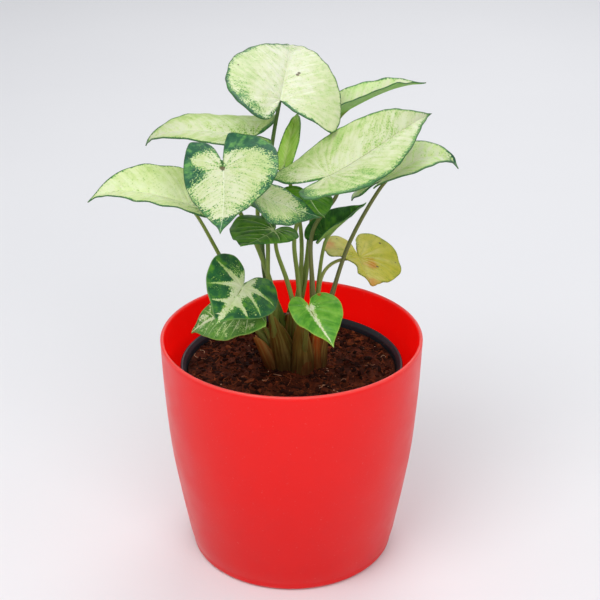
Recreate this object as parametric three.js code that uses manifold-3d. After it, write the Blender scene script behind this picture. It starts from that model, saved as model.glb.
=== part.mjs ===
import * as THREE from 'three';
import { mergeVertices } from 'three/addons/utils/BufferGeometryUtils.js';
import Module from 'manifold-3d';

const wasm = await Module();
wasm.setup();

// A small variegated syngonium in a black nursery pot, set inside a round red cover pot.
// Millimetres and degrees, +Z up, origin at the middle of the cover pot's underside.
// +X is to the right and -Y towards the viewer.

// Cover pot
const potHeight = 118;
const potWall = 1.8;
const potFloor = 2.5;
const potRound = 3; // radius of the rounded lower edge
const potFootRadius = 49; // flat underside
const potBulge = [[52, 4], [53.6, 10], [55.4, 20], [58.3, 37], [61.6, 60], [63.9, 90], [65, potHeight]]; // [radius, height]
const roundSegments = 48;

// Nursery pot, standing on the cover pot's floor
const seatGap = 0.3; // between pieces that rest on or in each other
const nurseryHeight = 100;
const nurseryTopRadius = 54;
const nurseryFootRadius = 41;
const nurseryWall = 1.2;
const nurseryLip = { width: 1.6, height: 5 };
const drainHoles = { count: 4, radius: 4, circle: 24 };

// Soil
const soilTop = 99;
const soilCrown = 1.5; // how much higher the soil stands in the middle

// Leaf blades and stalks
const bladeThickness = 0.8;
const bladeRings = [0.36, 0.7, 1]; // shares of the way from the stalk to the margin
const bladeSamples = 13; // points along each half margin
const notchDepth = 0.1; // from the stalk back to the notch between the lobes, as a share of the lobes
const stalkTopRadius = 1.05;
const stalkMiddleRadius = 1.35;
const stalkSheathRadius = 3.1;
const stalkSides = 7;
const stalkSteps = 12;
const stemRadius = 4.3;
const stemBottom = 84;
const stemSides = 14;
const stemTop = 124;
const stemProfile = [ // [radius, height]
  [0, stemBottom], [stemRadius, stemBottom], [stemRadius, 101], [3.7, 111], [2.2, stemTop], [0, stemTop],
];
const stalkStart = 96; // inside the stem
const stalkParting = 108; // where the stalks begin to lean out of the stem

// What every blade has unless it says otherwise. Pairs are the left half, then the right half,
// as seen from the stalk looking to the tip.
const commonBlade = {
  spread: [0.55, 0.55], // how far the lobe tips stand apart, as a share of the half width
  pitch: 0, // rise of the midrib at the stalk
  roll: 0,
  droop: 20, // how far the midrib has bent down at the tip
  lobeDroop: 10, // how far the lobes have bent down
  fold: [10, 10], // rise of each half at the midrib
  curl: [20, 20], // how far each half has bent back down at its margin
  twist: 0,
  sweep: 0, // sideways run of the tip to the left
  wave: 0.5, // height of the waves in the margin
};

const shoots = {
  shoot_left: {
    foot: [-8, -1],
    leaves: {
      leaf_front_heart: {
        seat: [-30, -30, 215], heading: -85, pitch: -25, roll: 7, length: 41, half: [25, 18], lobe: [24, 19],
        spread: [0.2, 0.75], droop: -8, lobeDroop: 7, fold: [7, 10], curl: [13, 18], twist: 9, sweep: -3,
        stalk: [[-9.4, -4, 143.6], [-17, 0, 166.7], [-27, -12, 194]],
      },
      leaf_left: {
        seat: [-47, -14, 192], heading: 175, pitch: 17, roll: -1, length: 52, half: [18, 23], lobe: [14, 16],
        droop: 60, fold: [18, 24], curl: [9, 14], twist: -19, sweep: -3,
        stalk: [[-18, 0, 122], [-35.4, 0, 162]],
      },
      leaf_middle_pale: {
        seat: [-12, -27, 201], heading: 0, pitch: -24, roll: 2, length: 28, half: [12, 23], lobe: [12, 12],
        droop: -3, fold: [14, 10], curl: [11, 18], twist: 21, sweep: 1,
        stalk: [[-11.3, -4, 150], [-11.1, -4, 167], [-11.8, -5.5, 184]],
      },
      leaf_low_heart: {
        seat: [-23, -24, 154], heading: -107, pitch: -9, roll: -22, length: 31, half: [19, 19], lobe: [16, 14],
        droop: 14, lobeDroop: 3, fold: [4, 18], curl: [30, -7], twist: 11, sweep: -2,
        stalk: [[-9, -10, 128], [-12.5, -17, 143]],
      },
      leaf_lowest_left: {
        seat: [-21, -18, 142], heading: 171, pitch: -27, roll: -16, length: 38, half: [21, 16], lobe: [11, 9],
        spread: [0.9, 0.8],
        droop: 35, fold: [9, 16], curl: [22, 23], twist: -8, sweep: -6,
        stalk: [[-13, -6, 124]],
      },
    },
  },
  shoot_back: {
    foot: [-1, 8],
    leaves: {
      leaf_top: {
        seat: [-5, 20, 232], heading: 84, pitch: 18, roll: 13, length: 66, half: [29, 32], lobe: [24, 11],
        spread: [0.42, 0.8], droop: 31, lobeDroop: 3, fold: [29, 11], curl: [26, 47], twist: -17,
        stalk: [[-11.6, 6, 140], [-14.3, 9, 163], [-9.1, 18, 211]],
      },
      leaf_back_left: {
        seat: [-18, 14, 216], heading: 183, pitch: 7, roll: -22, length: 63, half: [17, 28], lobe: [10, 11],
        spread: [0.7, 0.8], droop: 84, lobeDroop: -20, fold: [16, 8], curl: [0, 60], twist: 8, sweep: -15,
        stalk: [[-11.5, 7, 144], [-15.8, 11, 163]],
      },
      leaf_back_right: {
        seat: [23.2, 47.5, 215.9], heading: 23, pitch: 22, roll: -5, length: 51, half: [14, 15], lobe: [8, 7],
        droop: 30, fold: [32, 36], curl: [23, 7], twist: 11,
        stalk: [[6.7, 10, 144], [10, 20, 171]],
      },
      leaf_new: {
        seat: [-3, 22, 199.5], heading: 74, pitch: 43, length: 35, half: [6, 11], lobe: [5, 5],
        spread: [0.4, 0.4], droop: 43, fold: [50, 50], curl: [-6, -6], twist: 12, sweep: 2, wave: 0,
        stalk: [[4.4, 8, 144], [4.4, 14, 170]],
      },
    },
  },
  shoot_front: {
    foot: [6, -7],
    leaves: {
      leaf_dark_low: {
        seat: [-8, -24, 183], heading: -124, pitch: -2, roll: -1, length: 25, half: [12, 22], lobe: [8, 9],
        droop: -10, fold: [5, 8], curl: [22, 19], twist: 13, sweep: -1,
        stalk: [[-1.1, -6, 146], [-6.7, -10, 166]],
      },
      leaf_dark_middle: {
        seat: [8, -3, 193], heading: -70, pitch: -29, roll: -7, length: 16, half: [13, 16], lobe: [5, 6],
        droop: -10, lobeDroop: 5, fold: [0, 0], curl: [22, 18], sweep: 3,
        stalk: [[3.2, -1, 148], [1.5, -2, 171]],
      },
      leaf_front_low: {
        seat: [9, -28, 145], heading: -65, pitch: -26, roll: 6, length: 23, half: [15, 10], lobe: [7, 9],
        spread: [0.5, 0.45], droop: 24, lobeDroop: 6, fold: [11, 10], curl: [20, 23], sweep: 3,
        stalk: [[7, -15, 122]],
      },
    },
  },
  shoot_right: {
    foot: [13, 1],
    leaves: {
      leaf_right_pale: {
        seat: [18, -8, 204], heading: 18, pitch: 22, roll: 5, length: 69, half: [25, 28], lobe: [25, 22],
        spread: [0.72, 0.9], droop: 41, lobeDroop: -16, fold: [23, 19], curl: [33, 22], twist: 30, sweep: 34,
        stalk: [[10.1, 0, 147], [10.5, 0.5, 174], [22.5, 6, 189.5]],
      },
      leaf_right_back: {
        seat: [45, 14, 194], heading: 26, pitch: 25, roll: -10, length: 48, half: [22, 15], lobe: [17, 9],
        spread: [0.6, 0.55], droop: 85, lobeDroop: 13, fold: [11, 16], curl: [26, 9], twist: 45, sweep: 6,
        stalk: [[20.4, 4, 139], [29.1, 10, 164.5]],
      },
      leaf_small_right: {
        seat: [17, 6, 168], heading: 35, pitch: 24, roll: -3, length: 29, half: [11, 13], lobe: [8, 8],
        droop: 11, fold: [35, 39], curl: [6, -4], twist: 10, sweep: 4,
        stalk: [[13.5, 6, 145]],
      },
      leaf_yellow: {
        seat: [34, 24, 148], heading: -77, pitch: -13, roll: -17, length: 25, half: [23, 19], lobe: [20, 18],
        spread: [0.3, 0.47], droop: -5, lobeDroop: 0, fold: [10, 20], curl: [18, 37], twist: -17,
        stalk: [[15, 8, 146], [22, 16, 150]],
      },
    },
  },
};

const radians = THREE.MathUtils.degToRad;

function material(color, roughness) {
  return new THREE.MeshStandardMaterial({ color, roughness, metalness: 0, side: THREE.FrontSide });
}

const redPlastic = material(0xd4302c, 0.38);
const blackPlastic = material(0x1d232c, 0.5);
const pottingMix = material(0x3f1e12, 0.95);
const stalkGreen = material(0x6f7d35, 0.5);
const bladeColors = {
  pale: material(0xbfdd95, 0.45),
  marbled: material(0x8fbf7a, 0.45),
  dark: material(0x3f7d35, 0.42),
  yellow: material(0xb9ab3a, 0.55),
};
const marbledLeaves = ['leaf_front_heart', 'leaf_middle_pale', 'leaf_low_heart', 'leaf_lowest_left'];
const darkLeaves = ['leaf_dark_low', 'leaf_dark_middle', 'leaf_front_low', 'leaf_small_right'];

// Booleans

function closedForm(geometry) {
  const bare = geometry.clone();
  bare.deleteAttribute('normal');
  bare.deleteAttribute('uv');
  return mergeVertices(bare, 1e-4);
}

function toSolid(geometry) {
  const form = closedForm(geometry);
  const mesh = new wasm.Mesh({
    numProp: 3,
    vertProperties: new Float32Array(form.attributes.position.array),
    triVerts: new Uint32Array(form.index.array),
  });
  return new wasm.Manifold(mesh);
}

function toGeometry(solid) {
  const mesh = solid.getMesh();
  const geometry = new THREE.BufferGeometry();
  geometry.setAttribute('position', new THREE.Float32BufferAttribute(mesh.vertProperties, 3));
  geometry.setIndex([...mesh.triVerts]);
  return geometry;
}

function uprightCylinder(x, y, radius, bottom, top, sides) {
  const geometry = new THREE.CylinderGeometry(radius, radius, top - bottom, sides);
  geometry.rotateX(Math.PI / 2);
  geometry.translate(x, y, (top + bottom) / 2);
  return geometry;
}

function turned(profile, segments = roundSegments) {
  const points = profile.map(([radius, height]) => new THREE.Vector2(radius, height));
  const geometry = new THREE.LatheGeometry(points, segments);
  geometry.rotateX(Math.PI / 2);
  return geometry;
}

// Pots and soil. A profile runs from the axis at the bottom, up the outside and back down the inside.

const potSide = new THREE.SplineCurve(potBulge.map(([radius, height]) => new THREE.Vector2(radius, height)));

function coverPotGeometry() {
  const outside = potSide.getPoints(11).map((p) => [p.x, p.y]);
  const inside = outside.map(([radius, height]) => [radius - potWall, height]).reverse();
  const innerWall = inside.filter(([, height]) => height > potFloor + potRound);
  const floorRadius = potFootRadius - 1;
  return turned([
    [0, 0], [potFootRadius, 0], [potFootRadius + potRound * 0.75, potRound * 0.35],
    ...outside, ...innerWall,
    [floorRadius + 0.6, potFloor + potRound * 0.4], [floorRadius - 1, potFloor], [0, potFloor],
  ]);
}

const nurseryFloorHeight = potFloor + seatGap;
const nurseryRimHeight = nurseryFloorHeight + nurseryHeight;

function nurseryRadiusAt(height) {
  const share = (height - nurseryFloorHeight) / nurseryHeight;
  return nurseryFootRadius + (nurseryTopRadius - nurseryFootRadius) * share;
}

function nurseryPotSolid() {
  const lipBottom = nurseryRimHeight - nurseryLip.height;
  const floorTop = nurseryFloorHeight + nurseryWall;
  const shell = toSolid(turned([
    [0, nurseryFloorHeight], [nurseryFootRadius, nurseryFloorHeight],
    [nurseryRadiusAt(lipBottom), lipBottom],
    [nurseryTopRadius + nurseryLip.width, lipBottom],
    [nurseryTopRadius + nurseryLip.width, nurseryRimHeight],
    [nurseryTopRadius - nurseryWall, nurseryRimHeight],
    [nurseryRadiusAt(floorTop) - nurseryWall, floorTop],
    [0, floorTop],
  ]));
  let pot = shell;
  for (let i = 0; i < drainHoles.count; i += 1) {
    const angle = (i / drainHoles.count) * 2 * Math.PI;
    const hole = uprightCylinder(
      drainHoles.circle * Math.cos(angle), drainHoles.circle * Math.sin(angle),
      drainHoles.radius, nurseryFloorHeight - 1, floorTop + 1, 10,
    );
    pot = pot.subtract(toSolid(hole));
  }
  return pot;
}

function soilSolid() {
  const bottom = nurseryFloorHeight + nurseryWall + seatGap;
  const inset = nurseryWall + seatGap;
  const body = toSolid(turned([
    [0, bottom], [nurseryRadiusAt(bottom) - inset, bottom],
    [nurseryRadiusAt(soilTop) - inset, soilTop],
    [nurseryTopRadius * 0.7, soilTop + soilCrown * 0.5],
    [nurseryTopRadius * 0.35, soilTop + soilCrown], [0, soilTop + soilCrown],
  ]));
  let soil = body;
  for (const { foot } of Object.values(shoots)) {
    const hole = uprightCylinder(foot[0], foot[1], stemRadius + seatGap, stemBottom - seatGap, soilTop + soilCrown + 1, stemSides);
    soil = soil.subtract(toSolid(hole));
  }
  return soil;
}

// Leaf blades

function halfMargin(leaf, side) {
  const sign = side === 0 ? 1 : -1;
  const wide = sign * leaf.half[side];
  const spread = leaf.spread[side];
  const lobe = leaf.lobe[side];
  const front = [[1, 0], [0.9, 0.085], [0.76, 0.3], [0.56, 0.62], [0.32, 0.89], [0.06, 1]];
  const back = [
    [0.45, 0.97], [0.82, spread + (1 - spread) * 0.55], [1, spread],
    [0.86, spread * 0.42], [0.5, spread * 0.15],
  ];
  const keys = [
    ...front.map(([x, y]) => new THREE.Vector2(x * leaf.length, y * wide)),
    ...back.map(([x, y]) => new THREE.Vector2(-x * lobe, y * wide)),
    new THREE.Vector2(-notchDepth * Math.min(...leaf.lobe), 0),
  ];
  return new THREE.SplineCurve(keys).getPoints(bladeSamples);
}

// The flat margin, from the notch round the left half to the tip and back round the right half
function flatMargin(leaf) {
  return [...halfMargin(leaf, 0).reverse(), ...halfMargin(leaf, 1).slice(1, -1)];
}

function average(steps, value) {
  let sum = 0;
  for (let i = 0; i < steps; i += 1) sum += value((i + 0.5) / steps);
  return sum / steps;
}

// Where a point of the flat blade lies once the blade is bent and set on its stalk: x runs along
// the midrib to the tip, y to its left.
function bentPoint(leaf, x, y) {
  const side = y >= 0 ? 0 : 1;
  const reach = Math.max(...leaf.lobe);
  const slope = (run) => radians(run >= 0
    ? leaf.pitch - leaf.droop * (run / leaf.length) ** 2
    : leaf.pitch + leaf.lobeDroop * (-run / reach));
  const alongRun = x * average(24, (u) => Math.cos(slope(x * u)));
  const alongRise = x * average(24, (u) => Math.sin(slope(x * u)));
  const angle = slope(x);

  const out = Math.abs(y) / leaf.half[side];
  const tilt = (u) => radians(leaf.fold[side] - leaf.curl[side] * out * u);
  let across = y * average(12, (u) => Math.cos(tilt(u)));
  let lift = Math.abs(y) * average(12, (u) => Math.sin(tilt(u)));
  lift += leaf.wave * out ** 2 * Math.sin((3 * Math.PI * x) / leaf.length + 2.1 * side);

  const turn = radians(leaf.twist) * (x / leaf.length);
  [across, lift] = [
    across * Math.cos(turn) - lift * Math.sin(turn),
    across * Math.sin(turn) + lift * Math.cos(turn),
  ];
  if (x > 0) across += leaf.sweep * (x / leaf.length) ** 2;

  const point = new THREE.Vector3(alongRun - Math.sin(angle) * lift, across, alongRise + Math.cos(angle) * lift);
  const midrib = new THREE.Vector3(Math.cos(radians(leaf.pitch)), 0, Math.sin(radians(leaf.pitch)));
  point.applyAxisAngle(midrib, radians(leaf.roll));
  point.applyAxisAngle(new THREE.Vector3(0, 0, 1), radians(leaf.heading));
  return point.add(new THREE.Vector3(...leaf.seat));
}

// One blade: rings of points round the stalk, split into the same triangles on both faces
function bladeGeometry(leaf) {
  const margin = flatMargin(leaf);
  const count = margin.length;
  const middle = [bentPoint(leaf, 0, 0)];
  for (const share of bladeRings) {
    for (const flat of margin) middle.push(bentPoint(leaf, flat.x * share, flat.y * share));
  }

  const face = [];
  for (let k = 0; k < count; k += 1) {
    const next = (k + 1) % count;
    face.push([0, 1 + next, 1 + k]);
    for (let ring = 1; ring < bladeRings.length; ring += 1) {
      const inner = 1 + (ring - 1) * count;
      const outer = 1 + ring * count;
      face.push([inner + k, inner + next, outer + next], [inner + k, outer + next, outer + k]);
    }
  }
  const rimStart = 1 + (bladeRings.length - 1) * count;

  const sheet = new THREE.BufferGeometry().setFromPoints(middle);
  sheet.setIndex(face.flat());
  sheet.computeVertexNormals();
  const normal = new THREE.Vector3();
  const shifted = (amount) => middle.map((point, i) => {
    normal.fromBufferAttribute(sheet.attributes.normal, i);
    return point.clone().addScaledVector(normal, amount);
  });

  const total = middle.length;
  const index = [];
  for (const [a, b, c] of face) index.push(a, b, c, total + a, total + c, total + b);
  for (let k = 0; k < count; k += 1) {
    const a = rimStart + k;
    const b = rimStart + ((k + 1) % count);
    index.push(a, b, total + b, a, total + b, total + a);
  }
  const geometry = new THREE.BufferGeometry();
  geometry.setFromPoints([...shifted(bladeThickness / 2), ...shifted(-bladeThickness / 2)]);
  geometry.setIndex(index);
  return geometry;
}

// Stalks and stems

// A round stalk that follows the curve and tapers: a straight cylinder, bent
function sweptStalk(curve, radiusAt) {
  const geometry = new THREE.CylinderGeometry(1, 1, 1, stalkSides, stalkSteps);
  const frames = curve.computeFrenetFrames(stalkSteps, false);
  const position = geometry.attributes.position;
  for (let i = 0; i < position.count; i += 1) {
    const share = position.getY(i) + 0.5;
    const step = Math.round(share * stalkSteps);
    const radius = radiusAt(share);
    const point = curve.getPointAt(share)
      .addScaledVector(frames.binormals[step], position.getX(i) * radius)
      .addScaledVector(frames.normals[step], position.getZ(i) * radius);
    position.setXYZ(i, point.x, point.y, point.z);
  }
  return geometry;
}

function stalkRadius(share) {
  const sheathEnd = 0.45;
  if (share > sheathEnd) {
    return THREE.MathUtils.lerp(stalkMiddleRadius, stalkTopRadius, (share - sheathEnd) / (1 - sheathEnd));
  }
  return THREE.MathUtils.lerp(stalkSheathRadius, stalkMiddleRadius, share / sheathEnd);
}

// Upward normal of the blade at the stalk
function seatNormal(leaf) {
  const along = bentPoint(leaf, 1, 0).sub(bentPoint(leaf, 0, 0));
  const across = bentPoint(leaf, 0, 1).sub(bentPoint(leaf, 0, -1));
  return along.cross(across).normalize();
}

// From inside the stem by way of the leaf's stalk points to just below the seat of its blade
function stalkCurve(foot, leaf, below) {
  const way = leaf.stalk.map((p) => new THREE.Vector3(...p));
  return new THREE.CatmullRomCurve3([
    new THREE.Vector3(...foot, stalkStart),
    new THREE.Vector3(...foot, stalkParting).lerp(way[0], 0.12),
    ...way,
    new THREE.Vector3(...leaf.seat).addScaledVector(seatNormal(leaf), -below),
  ], false, 'centripetal');
}

// The stalk ends as near its blade as the gap between them allows
function stalkSolid(foot, leaf) {
  const blade = toSolid(bladeGeometry(leaf));
  let below = bladeThickness / 2 + seatGap;
  let stalk;
  do {
    stalk = toSolid(sweptStalk(stalkCurve(foot, leaf, below), stalkRadius));
    below += 0.1;
  } while (stalk.minGap(blade, 1) < seatGap && below < 6);
  return stalk;
}

// A stem with the stalks that sheathe it
function shootSolid({ foot, leaves }) {
  let shoot = toSolid(turned(stemProfile, stemSides)).translate(...foot, 0);
  for (const leaf of Object.values(leaves)) shoot = shoot.add(stalkSolid(foot, { ...commonBlade, ...leaf }));
  return shoot;
}

// Scene

const plant = new THREE.Group();

function place(name, geometry, surface) {
  const mesh = new THREE.Mesh(closedForm(geometry), surface);
  mesh.name = name;
  plant.add(mesh);
}

function bladeSurface(name) {
  if (marbledLeaves.includes(name)) return bladeColors.marbled;
  if (darkLeaves.includes(name)) return bladeColors.dark;
  if (name === 'leaf_yellow') return bladeColors.yellow;
  return bladeColors.pale;
}

place('cover_pot', coverPotGeometry(), redPlastic);
place('nursery_pot', toGeometry(nurseryPotSolid()), blackPlastic);
place('soil', toGeometry(soilSolid()), pottingMix);
for (const [name, shoot] of Object.entries(shoots)) {
  place(name, toGeometry(shootSolid(shoot)), stalkGreen);
  for (const [leafName, leaf] of Object.entries(shoot.leaves)) {
    place(leafName, bladeGeometry({ ...commonBlade, ...leaf }), bladeSurface(leafName));
  }
}

export default plant;
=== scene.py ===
# Potted variegated syngonium, dressed over its solids.
# Shapes are worked out in millimetres, as on the solids, and the meshes are in metres.
import math
import random

import bmesh
import bpy
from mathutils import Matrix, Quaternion, Vector, kdtree, noise


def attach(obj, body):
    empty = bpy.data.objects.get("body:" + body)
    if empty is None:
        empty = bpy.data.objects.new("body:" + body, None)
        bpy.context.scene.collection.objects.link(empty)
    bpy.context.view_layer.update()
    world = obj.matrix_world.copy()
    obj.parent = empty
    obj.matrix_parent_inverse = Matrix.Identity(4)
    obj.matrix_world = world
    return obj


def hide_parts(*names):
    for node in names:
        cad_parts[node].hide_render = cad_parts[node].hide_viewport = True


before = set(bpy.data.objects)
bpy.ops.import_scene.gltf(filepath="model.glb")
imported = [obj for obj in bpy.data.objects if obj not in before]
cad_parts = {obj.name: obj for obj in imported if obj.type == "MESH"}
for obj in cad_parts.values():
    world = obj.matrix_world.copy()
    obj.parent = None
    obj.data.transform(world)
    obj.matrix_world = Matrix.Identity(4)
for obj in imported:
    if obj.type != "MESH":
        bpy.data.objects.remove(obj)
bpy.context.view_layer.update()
mm = 0.001
print("solids loaded:", len(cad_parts))


# Camera, floor and lights

cameraSettings = {
    "lens": 82.2,  # mm, on a 36 mm sensor
    "place": (4.2, -607.0, 424.5),
    "aim": (4.2, 0.0, 136.3),
}


def addCamera(settings):
    data = bpy.data.cameras.new("camera")
    data.lens = settings["lens"]
    data.sensor_width = 36
    camera = bpy.data.objects.new("camera", data)
    bpy.context.collection.objects.link(camera)
    place = Vector(settings["place"]) * mm
    camera.location = place
    camera.rotation_euler = (Vector(settings["aim"]) * mm - place).to_track_quat("-Z", "Y").to_euler()
    bpy.context.scene.camera = camera


# sRGB from 0 to 255, as the linear colour that sockets take
def tone(*rgb):
    return tuple(v / 3294.6 if v < 11 else ((v / 255 + 0.055) / 1.055) ** 2.4 for v in rgb) + (1.0,)


def addMesh(name, bm, materials, smooth=True):
    mesh = bpy.data.meshes.new(name)
    bm.to_mesh(mesh)
    bm.free()
    if smooth:
        mesh.shade_smooth()
    for material in materials:
        mesh.materials.append(material)
    piece = bpy.data.objects.new(name, mesh)
    bpy.context.collection.objects.link(piece)
    return piece


def onCircle(radius, turn):
    return radius * math.cos(turn), radius * math.sin(turn)


# A grid rolled into a tube: its verts, each with its turn and its share of the length.
# A tube's ends close where its radius comes down to nothing and the doubles are merged.
def rolledTube(bm, sides, steps):
    made = bmesh.ops.create_grid(bm, x_segments=sides, y_segments=steps, size=0.5)["verts"]
    return [(vert, (vert.co.x + 0.5) * math.tau, vert.co.y + 0.5) for vert in made]


def mergeDoubles(bm):
    bmesh.ops.remove_doubles(bm, verts=bm.verts[:], dist=2e-6)


# Makes a piece part of the plant, in place of the solids named
def dress(piece, slot, *nodes):
    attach(piece, "root")
    if nodes:
        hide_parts(*nodes)


# Node helpers. Most give the socket that holds their result.

def feed(tree, socket, value):
    if isinstance(value, bpy.types.NodeSocket):
        tree.links.new(value, socket)
    else:
        socket.default_value = value


def calc(tree, operation, *values, clamp=False):
    node = tree.nodes.new("ShaderNodeMath")
    node.operation = operation
    node.use_clamp = clamp
    for socket, value in zip(node.inputs, values):
        feed(tree, socket, value)
    return node.outputs[0]


def times(tree, first, second):
    return calc(tree, "MULTIPLY", first, second)


def addUp(tree, *values):
    total = values[0]
    for value in values[1:]:
        total = calc(tree, "ADD", total, value)
    return total


def ease(tree, value, low, high, start=0.0, end=1.0):
    node = tree.nodes.new("ShaderNodeMapRange")
    node.interpolation_type = "SMOOTHSTEP"
    for socket, given in zip(node.inputs, (value, low, high, start, end)):
        feed(tree, socket, given)
    return node.outputs[0]


def grain(tree, vector, scale, detail=2.0, roughness=0.5, distortion=0.0):
    node = tree.nodes.new("ShaderNodeTexNoise")
    feed(tree, node.inputs["Vector"], vector)
    feed(tree, node.inputs["Scale"], scale)
    node.inputs["Detail"].default_value = detail
    node.inputs["Roughness"].default_value = roughness
    node.inputs["Distortion"].default_value = distortion
    return node.outputs[0]


# Grain from -1 to 1, times an amount
def sway(tree, vector, scale, amount, detail=2.0, roughness=0.5):
    field = grain(tree, vector, scale, detail, roughness)
    return calc(tree, "MULTIPLY_ADD", field, 2 * amount, -amount)


# Colours are given as sockets, or as sRGB from 0 to 255
def blendTone(tree, share, first, second, kind="MIX"):
    node = tree.nodes.new("ShaderNodeMix")
    node.data_type = "RGBA"
    node.blend_type = kind
    feed(tree, node.inputs[0], share)
    for socket, color in zip(node.inputs[6:8], (first, second)):
        feed(tree, socket, tone(*color) if isinstance(color, tuple) else color)
    return node.outputs[2]


# Each stop is a place from 0 to 1 and an sRGB colour
def toneRamp(tree, value, stops):
    node = tree.nodes.new("ShaderNodeValToRGB")
    ramp = node.color_ramp
    while len(ramp.elements) < len(stops):
        ramp.elements.new(0.5)
    for element, (place, color) in zip(ramp.elements, stops):
        element.position = place
        element.color = tone(*color)
    feed(tree, node.inputs[0], value)
    return node.outputs[0]


def combine(tree, x, y, z=0.0):
    node = tree.nodes.new("ShaderNodeCombineXYZ")
    for socket, value in zip(node.inputs, (x, y, z)):
        feed(tree, socket, value)
    return node.outputs[0]


def split(tree, vector):
    node = tree.nodes.new("ShaderNodeSeparateXYZ")
    feed(tree, node.inputs[0], vector)
    return node.outputs


# A field stored on the mesh's points
def field(tree, name):
    node = tree.nodes.new("ShaderNodeAttribute")
    node.attribute_name = name
    return node.outputs["Vector"]


def objectPlace(tree):
    return tree.nodes.new("ShaderNodeTexCoord").outputs["Object"]


def newMaterial(name, **sockets):
    material = bpy.data.materials.new(name)
    material.use_nodes = True
    shader = material.node_tree.nodes["Principled BSDF"]
    for key, value in sockets.items():
        shader.inputs[key.replace("_", " ")].default_value = value
    return material, material.node_tree, shader


def finishMaterial(tree, shader, color, roughness, height, depth, strength=1.0):
    feed(tree, shader.inputs["Base Color"], color)
    feed(tree, shader.inputs["Roughness"], roughness)
    bump = tree.nodes.new("ShaderNodeBump")
    bump.inputs["Strength"].default_value = strength
    bump.inputs["Distance"].default_value = depth * mm
    feed(tree, bump.inputs["Height"], height)
    feed(tree, shader.inputs["Normal"], bump.outputs[0])


studio = {
    "floor": (238, 238, 240),
    "world": (244, 246, 250),
    "worldStrength": 0.5,
    # place in metres, width in metres, watts
    "lights": {
        "key": ((-0.5, -0.7, 1.4), 1.0, 11),
        "fill": ((0.5, -1.2, 0.9), 1.0, 7),
        "back": ((0.3, 1.1, 1.2), 1.2, 7),
    },
}


def addStudio(settings):
    material, tree, shader = newMaterial("floorPaper", Roughness=0.8)
    place = objectPlace(tree)
    shade = blendTone(tree, grain(tree, place, 3, 3), settings["floor"], (232, 232, 235))
    finishMaterial(tree, shader, shade, 0.8, grain(tree, place, 400, 2), 0.05)
    bm = bmesh.new()
    bmesh.ops.create_grid(bm, x_segments=2, y_segments=2, size=4)
    floor = addMesh("floor", bm, [material], smooth=False)
    world = bpy.data.worlds.new("daylight")
    world.use_nodes = True
    sky = world.node_tree.nodes["Background"]
    sky.inputs[0].default_value = tone(*settings["world"])
    sky.inputs[1].default_value = settings["worldStrength"]
    bpy.context.scene.world = world
    for name, (place, width, watts) in settings["lights"].items():
        data = bpy.data.lights.new(name, "AREA")
        data.shape = "DISK"
        data.size = width
        data.energy = watts
        light = bpy.data.objects.new(name, data)
        bpy.context.collection.objects.link(light)
        light.location = place
        light.rotation_euler = (Vector((0, 0, 0.13)) - Vector(place)).to_track_quat("-Z", "Y").to_euler()
    bpy.context.scene.view_settings.view_transform = "Standard"


addCamera(cameraSettings)
addStudio(studio)
print("camera and studio set")


# Cover pot

coverPot = {
    "height": 118.0,
    "wall": 1.8,
    "floor": 2.5,
    "footRadius": 49.0,
    # radius and height up the outside
    "side": [(52, 4), (53.6, 10), (55.4, 20), (58.3, 37), (61.6, 60), (63.9, 90), (65, 118)],
    "steps": 160,
    "red": (248, 18, 14),
    "deepRed": (238, 10, 8),
    # painted shade: the darker red that the pot fades to at its foot
    "footShadeRed": (196, 10, 12),
    "paintedGlow": 0.3,  # painted glow: red emission on the inside faces, standing in for light that comes through the wall
}


# A smooth curve through the keys, its points spread evenly over the stretches between them
def softCurve(keys, count):
    last = len(keys) - 1
    points = []
    for i in range(count + 1):
        place = last * i / count
        k = min(int(place), last - 1)
        t = place - k
        p0, p1, p2, p3 = (Vector(keys[min(max(j, 0), last)]) for j in (k - 1, k, k + 1, k + 2))
        v0, v1 = (p2 - p0) / 2, (p3 - p1) / 2
        points.append((2 * p1 - 2 * p2 + v0 + v1) * t ** 3 + (3 * p2 - 3 * p1) * t ** 2
                      - (2 * v0 + v1) * t ** 2 + v0 * t + p1)
    return points


# Part of a circle in a profile, from one angle to another in degrees
def arc(radius, height, size, start, end, steps=5):
    turn = [math.radians(start + (end - start) * i / steps) for i in range(steps + 1)]
    return [(radius + size * math.cos(a), height + size * math.sin(a)) for a in turn]


# A profile of (radius, height) turned round the Z axis
def turned(profile, steps):
    bm = bmesh.new()
    verts = [bm.verts.new((r * mm, 0, z * mm)) for r, z in profile]
    edges = [bm.edges.new(pair) for pair in zip(verts, verts[1:])]
    bmesh.ops.spin(bm, geom=verts + edges, cent=(0, 0, 0), axis=(0, 0, 1), angle=math.tau,
                   steps=steps, use_merge=True)
    mergeDoubles(bm)
    bmesh.ops.recalc_face_normals(bm, faces=bm.faces[:])
    return bm


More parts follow.
